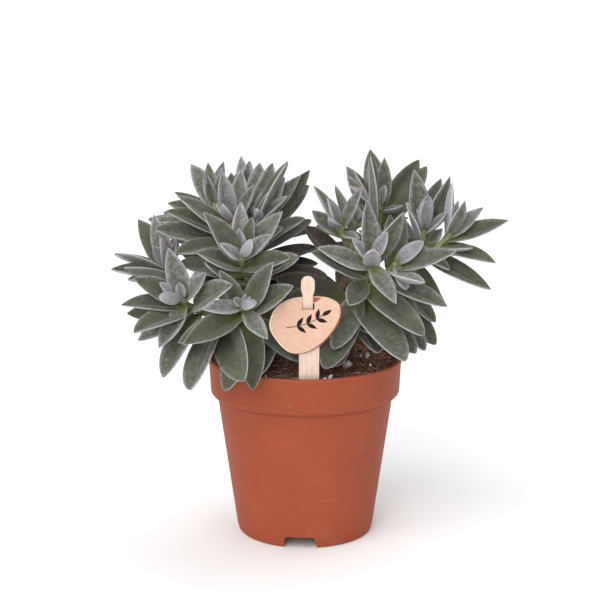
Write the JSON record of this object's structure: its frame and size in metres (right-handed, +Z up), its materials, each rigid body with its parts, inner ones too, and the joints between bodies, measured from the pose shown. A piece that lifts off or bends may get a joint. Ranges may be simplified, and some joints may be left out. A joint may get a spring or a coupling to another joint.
{
  "type": "potted succulent plant",
  "caption": "Bushy branching succulent with velvety grey-green lance-shaped leaves in a round tapered nursery pot, with soil and a leaning plant label.",
  "frame": {"origin": "middle of the flat disc under the pot, on the ground", "axes": "+Z up along the pot's axis, -Y towards the front with the label, +X to the viewer's right"},
  "size_m": [0.178, 0.122, 0.1787],
  "materials": {
    "pot": "matt terracotta",
    "soil": "moist brown peat with white perlite",
    "label_stick": "bare pale wood",
    "label_card": "unprinted kraft board",
    "leaves": "short velvet hair over grey-green"
  },
  "bodies": {
    "root": {"pot": "pot", "soil": "soil", "label_stick": "label_stick", "label_card": "label_card", "leafy_stem_left_front": "leaves", "leafy_stem_left_middle": "leaves", "leafy_stem_left_back": "leaves", "leafy_stem_right_front": "leaves", "leafy_stem_right_back": "leaves", "leafy_stem_right_side": "leaves"}
  },
  "joints": []
}
